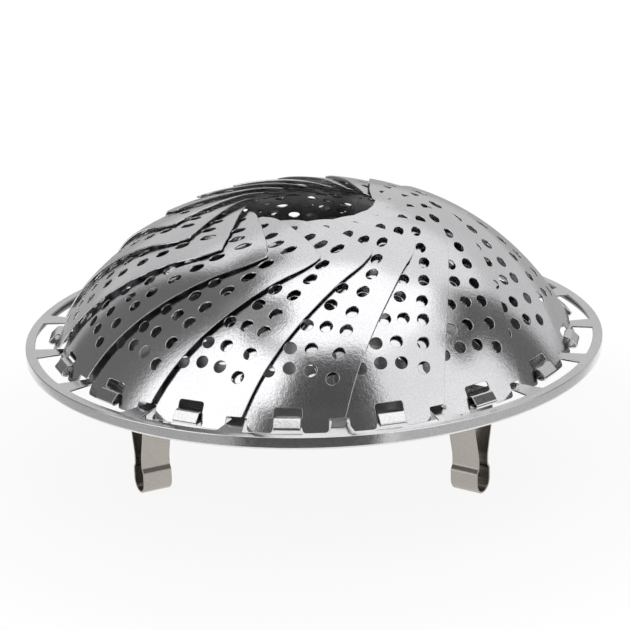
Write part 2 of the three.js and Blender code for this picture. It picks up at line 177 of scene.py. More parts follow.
def turn_faces_outward(piece):
    select_only(piece)
    bpy.ops.object.mode_set(mode="EDIT")
    bpy.ops.mesh.select_all(action="SELECT")
    bpy.ops.mesh.normals_make_consistent(inside=False)
    bpy.ops.object.mode_set(mode="OBJECT")


def mesh_numbers(items, name):
    """A whole number of every one of a mesh's items."""
    numbers = np.empty(len(items), np.int32)
    items.foreach_get(name, numbers)
    return numbers


def mesh_vectors(items, name):
    """A place or direction of every one of a mesh's items, in rows."""
    vectors = np.empty(len(items) * 3, np.float32)
    items.foreach_get(name, vectors)
    return vectors.reshape(-1, 3).astype(float)


def shade_sheet(piece):
    """Shades a flat sheet: flats and upright walls keep their own direction, edges between look round."""
    select_only(piece)
    bpy.ops.object.shade_smooth()
    mesh = piece.data
    corners = mesh_numbers(mesh.loops, "vertex_index")
    faces = np.repeat(np.arange(len(mesh.polygons)), mesh_numbers(mesh.polygons, "loop_total"))
    normals = mesh_vectors(mesh.corner_normals, "vector")
    directions = mesh_vectors(mesh.polygons, "normal")[faces]
    lean = np.abs(directions[:, 2])
    for chosen in (lean < MOST_WALL_LEAN, lean > LEAST_FLAT_LEAN):
        sums = np.zeros((len(mesh.vertices), 3))
        np.add.at(sums, corners[chosen], directions[chosen])
        lengths = np.linalg.norm(sums, axis=1, keepdims=True)
        touched = lengths[corners, 0] > LEAST_NORMAL_SUM
        normals[touched] = (sums / np.maximum(lengths, LEAST_NORMAL_SUM))[corners[touched]]
    mesh.normals_split_custom_set(normals)


def circle(radius, steps, centre=(0, 0)):
    turns = [FULL_TURN * step / steps for step in range(steps)]
    return [(centre[0] + radius * math.cos(turn), centre[1] + radius * math.sin(turn)) for turn in turns]


def rounded_outline(corners, steps=3):
    """A closed outline; each corner is (x, y, radius), and a corner of radius 0 stays sharp."""
    points = []
    for index, (x, y, radius) in enumerate(corners):
        corner = Vector((x, y))
        if radius == 0:
            points.append(tuple(corner))
            continue
        before = (Vector(corners[index - 1][:2]) - corner).normalized()
        after = (Vector(corners[(index + 1) % len(corners)][:2]) - corner).normalized()
        half_angle = before.angle(after) / 2
        centre = corner + (before + after).normalized() * radius / math.sin(half_angle)
        start = corner + before * radius / math.tan(half_angle) - centre
        end = corner + after * radius / math.tan(half_angle) - centre
        sweep = math.remainder(math.atan2(end.y, end.x) - math.atan2(start.y, start.x), FULL_TURN)
        for step in range(steps + 1):
            spoke = start.copy()
            spoke.rotate(Matrix.Rotation(sweep * step / steps, 2))
            points.append(tuple(centre + spoke))
    return points


def strip_outline(start, end, half_width, start_corner, end_corner, steps=3):
    """A strip's outline, lying along X."""
    corners = [(start, -half_width, start_corner), (end, -half_width, end_corner),
               (end, half_width, end_corner), (start, half_width, start_corner)]
    return rounded_outline(corners, steps)


def smooth_run(points, steps):
    """A smooth curve through points, with both ends kept."""
    points = np.array(points, float)
    gaps = np.linalg.norm(np.diff(points, axis=0), axis=1)
    marks = np.concatenate([[0], np.cumsum(gaps)])
    slopes = np.gradient(points, marks, axis=0)
    shares = np.arange(steps)[:, None] / steps
    run = []
    for index, gap in enumerate(gaps):
        start, end = points[index], points[index + 1]
        leave, arrive = slopes[index] * gap, slopes[index + 1] * gap
        bend = (leave + arrive - 2 * (end - start)) * shares ** 3
        bow = (3 * (end - start) - 2 * leave - arrive) * shares ** 2
        run.extend(start + leave * shares + bow + bend)
    run.append(points[-1])
    return [tuple(point) for point in run]


def flat_plate(name, outlines, thickness, rounding):
    """A flat sheet with rounded edges between closed outlines, with its middle at height zero."""
    curve = bpy.data.curves.new(name, "CURVE")
    curve.dimensions = "2D"
    curve.fill_mode = "BOTH"
    curve.extrude = thickness / 2 - rounding
    curve.bevel_depth = rounding
    curve.bevel_resolution = 0
    curve.offset = -rounding
    for outline in outlines:
        spline = curve.splines.new("POLY")
        spline.points.add(len(outline) - 1)
        for point, place in zip(spline.points, outline):
            point.co = (place[0], place[1], 0, 1)
        spline.use_cyclic_u = True
    plate = link(name, curve)
    select_only(plate)
    bpy.ops.object.convert(target="MESH")
    merge_close(plate)
    return plate


def cut_across(plate, axis, places):
    """Cuts a plate's faces at right angles to an axis, so that they can bend there."""
    select_only(plate)
    bpy.ops.object.mode_set(mode="EDIT")
    for place in places:
        bpy.ops.mesh.select_all(action="SELECT")
        bpy.ops.mesh.bisect(plane_co=Vector(axis) * place, plane_no=axis)
    bpy.ops.object.mode_set(mode="OBJECT")


def shape_sheet(piece, place):
    """Moves a flat sheet's points to their place on a bent one, and turns its shading with them."""
    mesh = piece.data
    flat = mesh_vectors(mesh.vertices, "co")
    normals = mesh_vectors(mesh.corner_normals, "vector")
    corners = mesh_numbers(mesh.loops, "vertex_index")
    sides = []
    for axis in np.eye(3):
        step = axis * TANGENT_STEP
        sides.append((place(flat + step) - place(flat - step)) / (2 * TANGENT_STEP))
    along, across, height = sides
    walls = np.stack([np.cross(across, height), np.cross(height, along), np.cross(along, across)], axis=1)
    turned = np.einsum("ci,cij->cj", normals, walls[corners])
    turned /= np.linalg.norm(turned, axis=1, keepdims=True)
    mesh.vertices.foreach_set("co", place(flat).astype(np.float32).ravel())
    mesh.update()
    mesh.normals_split_custom_set(turned.astype(np.float32))


class BendLine:
    """The middle line of a sheet that is bent in one plane, as straight runs and round bends.

    Each corner is (x, z, radius of its bend); the first and the last corner have no bend.
    """

    def __init__(self, corners):
        self.marks = [0.0]
        self.points = [Vector(corners[0][:2])]
        self.headings = []
        self.curvatures = []
        for before, corner, after in zip(corners, corners[1:], corners[2:]):
            incoming = Vector(corner[:2]) - Vector(before[:2])
            outgoing = Vector(after[:2]) - Vector(corner[:2])
            heading = math.atan2(incoming.y, incoming.x)
            turn = math.remainder(math.atan2(outgoing.y, outgoing.x) - heading, FULL_TURN)
            reach = corner[2] * math.tan(abs(turn) / 2)
            self.add_run(heading, (Vector(corner[:2]) - self.points[-1]).length - reach, 0)
            self.add_run(heading, corner[2] * abs(turn), turn)
        last = Vector(corners[-1][:2]) - self.points[-1]
        self.add_run(math.atan2(last.y, last.x), last.length, 0)
        self.length = self.marks[-1]

    def add_run(self, heading, length, turn):
        if length < MERGE_DISTANCE:
            return
        self.headings.append(heading)
        self.curvatures.append(turn / length)
        self.marks.append(self.marks[-1] + length)
        chord = length * np.sinc(turn / FULL_TURN)
        middle = heading + turn / 2
        self.points.append(self.points[-1] + Vector((math.cos(middle), math.sin(middle))) * chord)

    def bend_marks(self):
        """Places along the line where a sheet needs a cut, so that its bends come out round."""
        marks = set()
        for start, end, curvature in zip(self.marks, self.marks[1:], self.curvatures):
            steps = max(1, math.ceil(abs(curvature) * (end - start) / BEND_STEP))
            marks.update(start + (end - start) * step / steps for step in range(steps + 1))
        return sorted(marks)

    def place(self, points):
        """Places flat points: along the line, across the sheet and height off its middle."""
        along, across, height = points.T
        last_run = len(self.curvatures) - 1
        run = np.clip(np.searchsorted(self.marks, along, side="right") - 1, 0, last_run)
        travelled = along - np.array(self.marks)[run]
        turned = np.array(self.curvatures)[run] * travelled
        chord = travelled * np.sinc(turned / FULL_TURN)
        middle = np.array(self.headings)[run] + turned / 2
        heading = middle + turned / 2
        start = np.array(self.points)[run]
        x = start[:, 0] + chord * np.cos(middle) - height * np.sin(heading)
        z = start[:, 1] + chord * np.sin(middle) + height * np.cos(heading)
        return np.stack([x, across, z], axis=1)

    def skin(self, height):
        """The line's own points, moved off its middle by a height."""
        marks = np.array(self.bend_marks())
        flat = np.stack([marks, np.zeros_like(marks), np.full_like(marks, height)], axis=1)
        return [Vector(point) for point in self.place(flat)]


def bent_strip(name, line, outlines, thickness, rounding):
    """A strip cut flat from its outlines and bent along a line."""
    strip = flat_plate(name, outlines, thickness, rounding)
    cut_across(strip, (1, 0, 0), line.bend_marks()[1:-1])
    shade_sheet(strip)
    shape_sheet(strip, line.place)
    return strip


def copy_of(piece, name):
    """A copy with a mesh of its own."""
    copy = piece.copy()
    copy.data = piece.data.copy()
    copy.name = name
    copy.data.name = name
    bpy.context.scene.collection.objects.link(copy)
    return copy


def copies_round(piece, names, angles, start_angle=0):
    """Turns a piece and its copies about the basket's axis; each name takes its own angle."""
    copies = [copy_of(piece, name) for name in names[1:]]
    piece.name = names[0]
    piece.data.name = names[0]
    pieces = [piece, *copies]
    for turned, angle in zip(pieces, angles):
        turned.data.transform(Matrix.Rotation(angle + start_angle, 4, "Z"))
    return pieces


def petal_angles():
    petals = bpy.context.scene.basket_petals
    return [petals.first_angle + FULL_TURN * index / petals.count for index in range(petals.count)]


def leg_angles():
    legs = bpy.context.scene.basket_legs
    return [legs.first_angle + FULL_TURN * index / legs.count for index in range(legs.count)]


# Lengths that follow from the driving ones

WINDOW_CORNER = 1 * MM
WINDOW_OUTER_CORNER = 0.5 * MM
WINDOW_ARC_STEPS = 8
HINGE_SETBACK = 2.7 * MM
HINGE_RISE = 0.1 * MM
RUNNING_GAP = 0.35 * MM


def window_outer_radius():
    pan = bpy.context.scene.basket_pan
    return pan.ring_radius - pan.rim_width


def window_inner_radius():
    return window_outer_radius() - bpy.context.scene.basket_pan.window_depth


def window_half_width():
    spread = math.tan(math.pi / bpy.context.scene.basket_petals.count)
    spoke = bpy.context.scene.basket_pan.spoke_half_width
    return (window_inner_radius() + WINDOW_CORNER) * spread - spoke


def shoulder_radius():
    return window_inner_radius() - bpy.context.scene.basket_pan.ledge_width


def floor_radius():
    return shoulder_radius() - bpy.context.scene.basket_pan.side_run


def hinge_radius():
    return window_inner_radius() + HINGE_SETBACK


def floor_top():
    pan = bpy.context.scene.basket_pan
    return pan.stand_height - pan.depth


def floor_middle():
    return floor_top() - bpy.context.scene.basket_pan.sheet / 2


def ring_middle():
    pan = bpy.context.scene.basket_pan
    return pan.stand_height - pan.sheet / 2


def pivot_height():
    return floor_top() - bpy.context.scene.basket_pan.sheet - bpy.context.scene.basket_legs.pivot_drop


# Pan

SHEET_ROUNDING = 0.12 * MM
SIDE_BEND = 1.4 * MM
RIM_CORNER = 0.2 * MM
RIM_FALL_WIDTH = 1.2 * MM
RIM_FALL = 0.08 * MM
RIM_FALL_BEND = 0.5 * MM
INNER_CORNER_SHARE = 0.25
ROLL_END_SHARE = 0.8
LUG_HALF_WIDTH = 3 * MM
LUG_OVERHANG = 1.9 * MM
LUG_BEND = 0.5 * MM
LUG_END_CORNER = 1.2 * MM
LUG_HOLE_RADIUS = 1.5 * MM
LUG_WINDOW_CORNER = 0.5 * MM
LUG_WINDOW_MARGIN = 0.47 * MM
LEG_TOP_HALF_GAP = 4.4 * MM
LUG_ROOT = 0.1 * MM
DRAIN_RINGS = 3
DRAINS_IN_FIRST_RING = 6
DRAIN_MARGIN = 8 * MM


def lug_middle():
    """How far a lug's middle stands from the middle of its leg, along the ring."""
    strap = bpy.context.scene.basket_legs.strap_sheet
    return LEG_TOP_HALF_GAP + strap / 2 + RUNNING_GAP + bpy.context.scene.basket_pan.sheet / 2


def lug_window_end():
    half_sheet = bpy.context.scene.basket_pan.sheet / 2
    return lug_middle() + half_sheet + floor_top() - pivot_height() + LUG_OVERHANG


def leg_radius():
    reach = floor_radius() - LUG_WINDOW_MARGIN
    return math.sqrt(reach ** 2 - lug_window_end() ** 2) - LUG_HALF_WIDTH


def drain_outlines():
    pan = bpy.context.scene.basket_pan
    outlines = [circle(pan.centre_hole_radius, 2 * HOLE_STEPS)]
    pitch = (leg_radius() - LUG_HALF_WIDTH - DRAIN_MARGIN) / DRAIN_RINGS
    for ring in range(1, DRAIN_RINGS + 1):
        count = DRAINS_IN_FIRST_RING * ring
        for index in range(count):
            angle = FULL_TURN * index / count - QUARTER_TURN
            centre = (ring * pitch * math.cos(angle), ring * pitch * math.sin(angle))
            outlines.append(circle(pan.drain_radius, HOLE_STEPS, centre))
    return outlines


def turned_outline(outline, angle):
    """An outline turned about the basket's axis."""
    turn = Matrix.Rotation(angle, 2)
    return [tuple(turn @ Vector(point)) for point in outline]


def lug_window_outlines():
    inner = -leg_radius() + LUG_HALF_WIDTH
    outer = -leg_radius() - LUG_HALF_WIDTH
    near = lug_middle() - LUG_BEND + LUG_ROOT
    far = lug_window_end()
    outlines = []
    for angle in leg_angles():
        for side in (-1, 1):
            corners = [(side * near, outer, 0), (side * far, outer, LUG_WINDOW_CORNER),
                       (side * far, inner, LUG_WINDOW_CORNER), (side * near, inner, 0)]
            outlines.append(turned_outline(rounded_outline(corners), angle))
    return outlines


def window_outline():
    """One window, facing -Y: straight on its inner side and round on its outer side."""
    half_width = window_half_width()
    outer = window_outer_radius()
    spread = math.asin(half_width / outer)
    corners = [(-half_width, -window_inner_radius(), WINDOW_CORNER)]
    for step in range(WINDOW_ARC_STEPS + 1):
        angle = spread * (2 * step / WINDOW_ARC_STEPS - 1)
        corner = WINDOW_OUTER_CORNER if step in (0, WINDOW_ARC_STEPS) else 0
        corners.append((outer * math.sin(angle), -outer * math.cos(angle), corner))
    corners.append((half_width, -window_inner_radius(), WINDOW_CORNER))
    return rounded_outline(corners, steps=4)


def open_edge(plate, radius):
    """Takes the rounded edge off a round plate where the next part of the sheet goes on from it."""
    mesh = bmesh.new()
    mesh.from_mesh(plate.data)
    edge = [face for face in mesh.faces
            if abs(face.calc_center_median().xy.length - radius) < SHEET_ROUNDING]
    bmesh.ops.delete(mesh, geom=edge, context="FACES")
    mesh.to_mesh(plate.data)
    mesh.free()


def spun_sheet(name, skins):
    """Spins lines that lie at the side of the basket all the way round its axis."""
    points = []
    edges = []
    for skin in skins:
        first = len(points)
        points.extend(skin)
        edges.extend((index, index + 1) for index in range(first, len(points) - 1))
    mesh = bpy.data.meshes.new(name)
    mesh.from_pydata(points, edges, [])
    sheet = link(name, mesh)
    select_only(sheet)
    bpy.ops.object.mode_set(mode="EDIT")
    bpy.ops.mesh.select_all(action="SELECT")
    bpy.ops.mesh.spin(steps=RING_STEPS, angle=FULL_TURN, center=(0, 0, 0), axis=(0, 0, 1))
    bpy.ops.object.mode_set(mode="OBJECT")
    return sheet


def lip_skin(flange_end, depth):
    """The rim's slight fall, its corner, the lip and the roll under it, at a depth below the outer skin."""
    pan = bpy.context.scene.basket_pan
    top = pan.stand_height - depth
    outside = pan.ring_radius - depth
    low = pan.stand_height - pan.lip_height + depth
    bead = pan.bead_radius - depth
    corner = RIM_CORNER if depth == 0 else INNER_CORNER_SHARE * RIM_CORNER
    line = BendLine([
        (flange_end, top, 0),
        (outside - RIM_FALL_WIDTH, top, RIM_FALL_BEND),
        (outside, top - RIM_FALL, corner),
        (outside, low, bead),
        (outside - 2 * bead, low, bead),
        (outside - 2 * bead, low + 2 * bead, ROLL_END_SHARE * bead),
        (outside - bead, low + 2 * bead, 0),
    ])
    return line.skin(0)


def side_line():
    """The sloping side's middle line, from its seam with the floor to its seam with the flange."""
    pan = bpy.context.scene.basket_pan
    half_slope = math.atan2(pan.depth, pan.side_run) / 2
    shift = pan.sheet / 2 * math.tan(half_slope)
    reach = SIDE_BEND * math.tan(half_slope)
    foot = floor_radius() + shift
    head = shoulder_radius() + shift
    return BendLine([
        (foot - reach, floor_middle(), 0),
        (foot, floor_middle(), SIDE_BEND),
        (head, ring_middle(), SIDE_BEND),
        (head + reach, ring_middle(), 0),
    ])


def pan_floor(seam):
    """The floor with its drain holes and the windows that its lugs are bent from."""
    outline = circle(seam + SHEET_ROUNDING, RING_STEPS)
    openings = [*drain_outlines(), *lug_window_outlines()]
    sheet = bpy.context.scene.basket_pan.sheet
    floor = flat_plate("pan_floor", [outline, *openings], sheet, SHEET_ROUNDING)
    open_edge(floor, seam + SHEET_ROUNDING)
    floor.data.transform(Matrix.Translation((0, 0, floor_middle())))
    return floor


def pan_flange(inner_seam, outer_seam):
    """The flat ring with a window for every petal."""
    outline = circle(outer_seam + SHEET_ROUNDING, RING_STEPS)
    middle = circle(inner_seam - SHEET_ROUNDING, RING_STEPS)
    windows = [turned_outline(window_outline(), angle) for angle in petal_angles()]
    sheet = bpy.context.scene.basket_pan.sheet
    flange = flat_plate("pan_flange", [outline, middle, *windows], sheet, SHEET_ROUNDING)
    open_edge(flange, outer_seam + SHEET_ROUNDING)
    open_edge(flange, inner_seam - SHEET_ROUNDING)
    flange.data.transform(Matrix.Translation((0, 0, ring_middle())))
    return flange


def pan_shell():
    """The pressing in one sheet: perforated floor, sloping side, flange with windows, rim and lip."""
    pan = bpy.context.scene.basket_pan
    slope = side_line()
    floor_seam = slope.points[0].x
    inner_seam = slope.points[-1].x
    outer_seam = pan.ring_radius - RIM_FALL_WIDTH - pan.sheet
    floor = pan_floor(floor_seam)
    flange = pan_flange(inner_seam, outer_seam)
    side = spun_sheet("pan_side", [slope.skin(pan.sheet / 2), slope.skin(-pan.sheet / 2)])
    outer = lip_skin(outer_seam, 0)
    inner = lip_skin(outer_seam, pan.sheet)
    lip = spun_sheet("pan_lip", [[*outer, *reversed(inner)]])
    select_only(flange, floor, side, lip)
    bpy.ops.object.join()
    flange.name = "pan_shell"
    merge_close(flange, SEAM_MERGE_DISTANCE)
    turn_faces_outward(flange)
    shade_sheet(flange)
    return flange


HOOK_SHEET = 0.4 * MM
HOOK_HALF_WIDTH = 3 * MM
HOOK_SIDE_GAP = 0.15 * MM
HOOK_ROOT = 0.6 * MM
HOOK_LEDGE = 0.3 * MM
HOOK_DIP_BEND = 0.8 * MM
HOOK_DIP_END = 0.9 * MM
HOOK_BEND = 0.5 * MM
HOOK_END = 1.0 * MM
HOOK_END_CORNER = 1.1 * MM

# How far the hook stands from the hinge, below and above it and outside it, and how much further
# out its face is at the foot than at the top
HOOK_DEPTH = 1.17 * MM
HOOK_REACH = 1.8 * MM
HOOK_SLOPE = 2.4 * MM


def hooks():
    """The hook in each window: it passes under the petal's strip, up outside it and in through its slot."""
    axis_height = bpy.context.scene.basket_pan.stand_height + HINGE_RISE
    low = axis_height - HOOK_DEPTH
    high = axis_height + HOOK_DEPTH
    front = hinge_radius() + HOOK_REACH
    line = BendLine([
        (window_inner_radius() - HOOK_ROOT, ring_middle(), 0),
        (window_inner_radius() + HOOK_LEDGE, ring_middle(), HOOK_DIP_BEND),
        (hinge_radius() - HOOK_DIP_END, low, HOOK_DIP_BEND),
        (front + HOOK_SLOPE / 2, low, HOOK_BEND),
        (front - HOOK_SLOPE / 2, high, HOOK_BEND),
        (hinge_radius() - HOOK_END, high, 0),
    ])
    outline = strip_outline(0, line.length, HOOK_HALF_WIDTH, 0, HOOK_END_CORNER, steps=5)
    hook = bent_strip("hook", line, [outline], HOOK_SHEET, SHEET_ROUNDING)
    angles = petal_angles()
    names = [f"hook_{index + 1:02d}" for index in range(len(angles))]
    return copies_round(hook, names, angles, -QUARTER_TURN)


def lugs():
    """Two lugs for each leg, bent down from the floor, each with a round hole for the leg's tip."""
    sheet = bpy.context.scene.basket_pan.sheet
    end = pivot_height() - LUG_OVERHANG
    line = BendLine([
        (lug_middle() - LUG_BEND, floor_middle(), 0),
        (lug_middle(), floor_middle(), LUG_BEND),
        (lug_middle(), end, 0),
    ])
    outline = strip_outline(0, line.length, LUG_HALF_WIDTH, 0, LUG_END_CORNER, steps=4)
    hole = circle(LUG_HOLE_RADIUS, HOLE_STEPS, (line.length - LUG_OVERHANG, 0))
    right = bent_strip("lug", line, [outline, hole], sheet, SHEET_ROUNDING)
    left = copy_of(right, "lug_left")
    left.data.transform(Matrix.Rotation(math.pi, 4, "Z"))
    for lug in (right, left):
        lug.data.transform(Matrix.Translation((0, -leg_radius(), 0)))
    angles = leg_angles()
    count = len(angles)
    pieces = copies_round(right, [f"lug_{index + 1}" for index in range(count)], angles)
    pieces += copies_round(left, [f"lug_{index + 1 + count}" for index in range(count)], angles)
    return pieces


# Petals

PETAL_ROUNDING = 0.12 * MM

# Beyond this angle from a petal's middle its lap side settles, and above this share of its length
# its tip turns up.
SETTLE_ANGLE = math.radians(18)
SETTLE_DROP = 1.9 * MM
TIP_START_SHARE = 0.8
TIP_LIFT = 0.9 * MM

EAR_SIDE_GAP = 0.4 * MM
EAR_LENGTH = 2.3 * MM
EAR_CORNER = 0.8 * MM
EAR_TAPER = 0.3 * MM
EAR_INNER_CORNER = 0.3 * MM
EAR_ROOT_CORNER = 0.25 * MM
STRIP_HALF_HEIGHT = 0.8 * MM
SLOT_HEIGHT = 2.6 * MM
SLOT_LOW_CORNER = 0.4 * MM
SLOT_HIGH_CORNER = 0.7 * MM
LAP_FOOT_OVERHANG = 3.5 * MM
LAP_FOOT_CORNER = 0.4 * MM
TUCKED_FOOT_OVERHANG = 0.6 * MM
TUCKED_TOP_CORNER = 2 * MM


def along_shares(shares):
    """Points of the flat petal from shares of its length."""
    length = bpy.context.scene.basket_petals.length
    return [(across * length, rise * length) for across, rise in shares]


def petal_outline():
    """The flat petal: up its lap side, over the tip, down its tucked side and round its two ears."""
    ear = window_half_width() - EAR_SIDE_GAP
    foot = STRIP_HALF_HEIGHT
    lap_foot = (ear + LAP_FOOT_OVERHANG, foot)
    tucked_foot = (-ear - TUCKED_FOOT_OVERHANG, foot)
    lap_shares = LAP_EDGE_SHARES + SHOULDER_SHARES + TOP_EDGE_SHARES
    lap_side = smooth_run([lap_foot, *along_shares(lap_shares)], steps=5)
    tucked_side = smooth_run([*along_shares(TUCKED_EDGE_SHARES), tucked_foot], steps=3)
    inner = HOOK_HALF_WIDTH + HOOK_SIDE_GAP
    corners = [(*lap_foot, LAP_FOOT_CORNER)]
    corners += [(*point, 0) for point in lap_side[1:]]
    corners += [(*tucked_side[0], TUCKED_TOP_CORNER)]
    corners += [(*point, 0) for point in tucked_side[1:-1]]
    corners += [(*tucked_foot, 0)]
    ear_half = [(inner, -foot, EAR_INNER_CORNER), (inner + EAR_TAPER, -EAR_LENGTH, EAR_CORNER),
                (ear, -EAR_LENGTH, EAR_CORNER), (ear, foot, EAR_ROOT_CORNER)]
    corners += [(-across, rise, corner) for across, rise, corner in reversed(ear_half)]
    corners += ear_half
    return rounded_outline(corners)


def slot_outline():
    half_width = HOOK_HALF_WIDTH + HOOK_SIDE_GAP
    low = STRIP_HALF_HEIGHT
    high = STRIP_HALF_HEIGHT + SLOT_HEIGHT
    corners = [(-half_width, low, SLOT_LOW_CORNER), (half_width, low, SLOT_LOW_CORNER),
               (half_width, high, SLOT_HIGH_CORNER), (-half_width, high, SLOT_HIGH_CORNER)]
    return rounded_outline(corners)


def gap_to_outline(centre, outline):
    """How far a point lies from the nearest side of an outline."""
    ends = np.array(outline)
    starts = np.roll(ends, 1, axis=0)
    sides = ends - starts
    share = np.clip(((centre - starts) * sides).sum(1) / (sides ** 2).sum(1), 0, 1)
    return np.linalg.norm(starts + share[:, None] * sides - centre, axis=1).min()


def hole_outlines(outline):
    """The petal's holes, left out where they would come too near its edge."""
    petals = bpy.context.scene.basket_petals
    outlines = []
    for rise, drop, places in HOLE_ROW_SHARES:
        for place in places:
            sides = (1, -1) if place else (1,)
            for side in sides:
                centre = (side * place * petals.length, (rise - drop * place ** 2) * petals.length)
                if gap_to_outline(np.array(centre), outline) > HOLE_EDGE_MARGIN:
                    outlines.append(circle(petals.hole_radius, HOLE_STEPS, centre))
    return outlines


def petal_bend():
    """Centre, radius and start angle of the arc that a petal is bent to, from its hinge to its tip."""
    petals = bpy.context.scene.basket_petals
    foot = Vector((hinge_radius(), HINGE_RISE))
    tip = Vector((petals.opening_radius, petals.dome_rise))
    chord = tip - foot
    half_angle = 2 * math.atan(2 * petals.bend / chord.length)
    radius = chord.length / (2 * math.sin(half_angle))
    outward = Vector((chord.y, -chord.x)).normalized()
    centre = (foot + tip) / 2 - outward * radius * math.cos(half_angle)
    start = math.atan2(foot.y - centre.y, foot.x - centre.x)
    return centre, radius, start


def place_on_petal(points):
    """Places a flat petal's points: across, rise and height off the sheet.

    The petal climbs steadily along the ring, so that it lies one lap step above the next one, and its
    tip turns up a little.
    """
    petals = bpy.context.scene.basket_petals
    centre, radius, start = petal_bend()
    across, rise, height = points.T
    turn = start + rise / radius
    angle = across / (centre.x + radius * np.cos(turn))
    settle = np.maximum(0, angle - SETTLE_ANGLE)
    lift = petals.lap_step * angle * petals.count / FULL_TURN - SETTLE_DROP * settle ** 2
    near_tip = np.maximum(0, rise / petals.length - TIP_START_SHARE) / (1 - TIP_START_SHARE)
    lift = lift + TIP_LIFT * near_tip ** 2
    reach = radius + lift + height
    out = centre.x + reach * np.cos(turn)
    up = bpy.context.scene.basket_pan.stand_height + centre.y + reach * np.sin(turn)
    return np.stack([out * np.cos(angle), out * np.sin(angle), up], axis=1)


def petals():
    sizes = bpy.context.scene.basket_petals
    outline = petal_outline()
    outlines = [outline, slot_outline(), *hole_outlines(outline)]
    petal = flat_plate("petal", outlines, sizes.sheet, PETAL_ROUNDING)
    half_span = math.ceil(sizes.length / (2 * PETAL_CUT_PITCH))
    cuts = [PETAL_CUT_PITCH * step for step in range(-half_span, half_span + 1)]
    cut_across(petal, (1, 0, 0), cuts)
    cut_across(petal, (0, 1, 0), [cut + half_span * PETAL_CUT_PITCH for cut in cuts])
    shade_sheet(petal)
    shape_sheet(petal, place_on_petal)
    angles = petal_angles()
    names = [f"blade_{index + 1:02d}" for index in range(len(angles))]
    return copies_round(petal, names, angles, -QUARTER_TURN)


# Legs

# The strap's straight top, above and below its pivot
STRAP_TOP = 1.1 * MM
STRAP_STRAIGHT = 1.5 * MM
STRAP_CORNER = 0.8 * MM
SHOULDER_BEND = 2.5 * MM

# Heights of the neck's two ends, and the bends there
NECK_TOP = 9.4 * MM
NECK_TOP_BEND = 7 * MM
NECK_FOOT = 6.8 * MM
NECK_FOOT_BEND = 1.6 * MM

BULB_DROP = 0.2 * MM
BULB_TOP_BEND = 1.4 * MM
BULB_FLAT = 0.1 * MM
TIP_HALF_WIDTH = 1.1 * MM
TIP_REACH = 1.5 * MM
TIP_CORNER = 0.4 * MM


def leg_line():
    """The strap's middle line from one tip down round the bulb and up to the other tip."""
    legs = bpy.context.scene.basket_legs
    height = pivot_height()
    bulb = legs.bulb_radius
    half_sheet = legs.strap_sheet / 2
    side = [
        (LEG_TOP_HALF_GAP, height + STRAP_TOP, 0),
        (LEG_TOP_HALF_GAP, height - STRAP_STRAIGHT, SHOULDER_BEND),
        (legs.neck_half_gap, NECK_TOP, NECK_TOP_BEND),
        (legs.neck_half_gap, NECK_FOOT, NECK_FOOT_BEND),
        (bulb, 2 * bulb - BULB_DROP, BULB_TOP_BEND),
        (bulb, half_sheet, bulb - BULB_FLAT / 2),
    ]
    return BendLine([*side, *((-x, z, bend) for x, z, bend in reversed(side))])


def leg_pieces():
    legs = bpy.context.scene.basket_legs
    line = leg_line()
    outline = strip_outline(0, line.length, legs.strap_width / 2, STRAP_CORNER, STRAP_CORNER)
    strap = bent_strip("strap", line, [outline], legs.strap_sheet, SHEET_ROUNDING)
    reach = LEG_TOP_HALF_GAP + TIP_REACH + legs.strap_sheet / 2
    tip_outline = strip_outline(LEG_TOP_HALF_GAP, reach, TIP_HALF_WIDTH, 0, TIP_CORNER)
    tip = flat_plate("tip", [tip_outline], legs.strap_sheet, SHEET_ROUNDING)
    shade_sheet(tip)
    tip.data.transform(Matrix.Translation((0, 0, pivot_height())))
    other = copy_of(tip, "other_tip")
    other.data.transform(Matrix.Rotation(math.pi, 4, "Z"))
    select_only(strap, tip, other)
    bpy.ops.object.join()
    strap.data.transform(Matrix.Translation((0, -leg_radius(), 0)))
    angles = leg_angles()
    return copies_round(strap, [f"strap_{index + 1}" for index in range(len(angles))], angles)


# Finishes

# Where a Mix node has its factor and its colours among its sockets
MIX_FACTOR = 0
MIX_FIRST_COLOUR = 6
MIX_SECOND_COLOUR = 7
MIX_RESULT_COLOUR = 2


class Signal:
    """A node's output, so that shader sums are written as plain sums."""

    def __init__(self, finish, socket):
        self.finish = finish
        self.socket = socket

    def sum_with(self, operation, *others):
        return self.finish.node("ShaderNodeMath", {"operation": operation}, [self, *others])

    def __add__(self, other):
        return self.sum_with("ADD", other)

    def __radd__(self, other):
        return self.sum_with("ADD", other)

    def __sub__(self, other):
        return self.sum_with("SUBTRACT", other)

    def __rsub__(self, other):
        return self.finish.node("ShaderNodeMath", {"operation": "SUBTRACT"}, [other, self])

    def __mul__(self, other):
        return self.sum_with("MULTIPLY", other)

    def __rmul__(self, other):
        return self.sum_with("MULTIPLY", other)

    def __neg__(self):
        return self.sum_with("MULTIPLY", -1)


